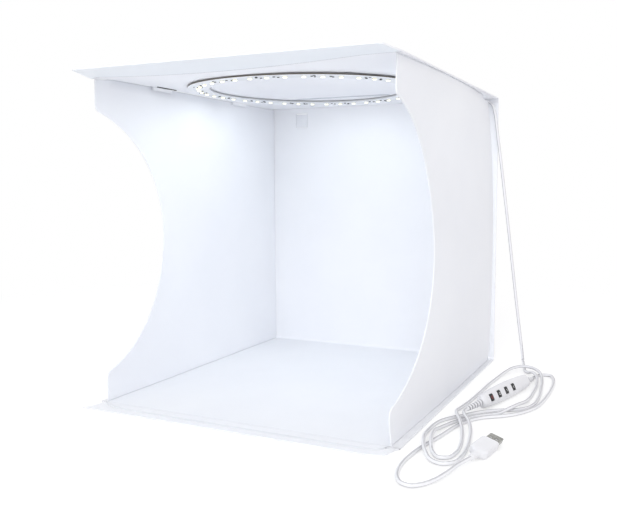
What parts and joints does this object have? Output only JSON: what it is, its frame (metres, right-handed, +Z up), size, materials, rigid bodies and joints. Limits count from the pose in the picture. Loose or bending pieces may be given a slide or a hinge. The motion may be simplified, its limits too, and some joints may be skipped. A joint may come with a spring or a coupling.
{
  "type": "light tent",
  "caption": "Cube-shaped white plastic light tent with folding walls, a hinged lid carrying an LED ring, a viewing window, and a USB cord with a button controller.",
  "frame": {"origin": "on the ground, under the middle of the box with its two front lips, the free cord left out", "axes": "+Z up, +Y from the open front to the back panel, +X to the right as seen from the open front"},
  "size_m": [0.3928, 0.3875, 0.31],
  "materials": {
    "white_sheet": "satin, smooth plastic sheet",
    "lip_sheet": "satin, smooth plastic sheet, cooler in tone",
    "board_brown": "dark laminate edge",
    "board_face_white": "white solder mask",
    "tape_white": "foam tape",
    "white_plastic": "smooth moulded plastic",
    "cord_sheath": "satin PVC",
    "black_plastic": "matt black rubber",
    "plug_steel": "bright nickel plate",
    "contact_gold": "gold plate",
    "board_green": "solder mask",
    "switch_grey": "moulded plastic"
  },
  "bodies": {
    "tent_base": {"bottom_panel": "white_sheet", "back_panel": "white_sheet", "cord_clip": "white_plastic", "cord_upper": "cord_sheath", "cord_lower": "cord_sheath", "controller_upper_shell": "white_plastic", "controller_lower_shell": "white_plastic", "controller_board": "board_green", "switch_power": "switch_grey", "switch_mode": "switch_grey", "switch_up": "switch_grey", "switch_down": "switch_grey", "controller_inlet_relief": "cord_sheath", "controller_outlet_relief": "cord_sheath", "usb_overmould": "white_plastic", "usb_shell": "plug_steel", "usb_tongue": "white_plastic", "usb_contact_1": "contact_gold", "usb_contact_2": "contact_gold", "usb_contact_3": "contact_gold", "usb_contact_4": "contact_gold"},
    "lid": {"top_panel": "white_sheet", "lid_tongue_left_front": "white_sheet", "lid_tongue_left_back": "white_sheet", "lid_tongue_right_front": "white_sheet", "lid_tongue_right_back": "white_sheet", "led_ring_board": "board_brown", "led_ring_leds": "board_face_white", "led_ring_tape": "tape_white", "led_ring_connector": "white_plastic", "ring_lead": "cord_sheath", "lead_clip": "white_plastic"},
    "top_lip": {"top_front_lip": "lip_sheet"},
    "bottom_lip": {"bottom_front_lip": "white_sheet"},
    "left_side": {"left_wall": "white_sheet"},
    "right_side": {"right_wall": "white_sheet"},
    "flap": {"window_flap": "white_sheet"},
    "left_hook": {"left_backdrop_hook": "white_sheet"},
    "right_hook": {"right_backdrop_hook": "white_sheet"},
    "button_power": {"button_power": "black_plastic"},
    "button_mode": {"button_mode": "black_plastic"},
    "button_up": {"button_up": "black_plastic"},
    "button_down": {"button_down": "black_plastic"}
  },
  "joints": [
    {"name": "lid_hinge", "type": "hinge", "parent": "tent_base", "child": "lid", "pos_m": [0, 0.17622, 0.31], "axis": [-1, 0, 0], "range_deg": [0, 100]},
    {"name": "top_lip_fold", "type": "hinge", "parent": "lid", "child": "top_lip", "pos_m": [0, -0.14442, 0.3088], "axis": [1, 0, 0], "range_deg": [0, 90]},
    {"name": "window_flap_fold", "type": "hinge", "parent": "lid", "child": "flap", "pos_m": [-0.004, 0.08557, 0.31], "axis": [-1, 0, 0], "range_deg": [0, 150]},
    {"name": "bottom_lip_fold", "type": "hinge", "parent": "tent_base", "child": "bottom_lip", "pos_m": [0, -0.14442, 0.0012], "axis": [-1, 0, 0], "range_deg": [0, 90]},
    {"name": "left_wall_fold", "type": "hinge", "parent": "tent_base", "child": "left_side", "pos_m": [-0.147, -0.14342, 0.0015], "axis": [0, -1, 0], "range_deg": [0, 90]},
    {"name": "right_wall_fold", "type": "hinge", "parent": "tent_base", "child": "right_side", "pos_m": [0.147, -0.14342, 0.0015], "axis": [0, 1, 0], "range_deg": [0, 60]},
    {"name": "left_hook_bend", "type": "hinge", "parent": "tent_base", "child": "left_hook", "pos_m": [-0.1046, 0.17638, 0.284], "axis": [1, 0, 0], "range_deg": [0, 60]},
    {"name": "right_hook_bend", "type": "hinge", "parent": "tent_base", "child": "right_hook", "pos_m": [0.1046, 0.17638, 0.284], "axis": [1, 0, 0], "range_deg": [0, 60]},
    {"name": "press_power", "type": "slide", "parent": "tent_base", "child": "button_power", "axis": [-0.856, 0.2166, -0.4695], "range_m": [0, 0.0005], "stiffness_N_per_m": 600, "springref_m": -0.0005},
    {"name": "press_mode", "type": "slide", "parent": "tent_base", "child": "button_mode", "axis": [-0.856, 0.2166, -0.4695], "range_m": [0, 0.0005], "stiffness_N_per_m": 600, "springref_m": -0.0005},
    {"name": "press_up", "type": "slide", "parent": "tent_base", "child": "button_up", "axis": [-0.856, 0.2166, -0.4695], "range_m": [0, 0.0005], "stiffness_N_per_m": 600, "springref_m": -0.0005},
    {"name": "press_down", "type": "slide", "parent": "tent_base", "child": "button_down", "axis": [-0.856, 0.2166, -0.4695], "range_m": [0, 0.0005], "stiffness_N_per_m": 600, "springref_m": -0.0005}
  ]
}
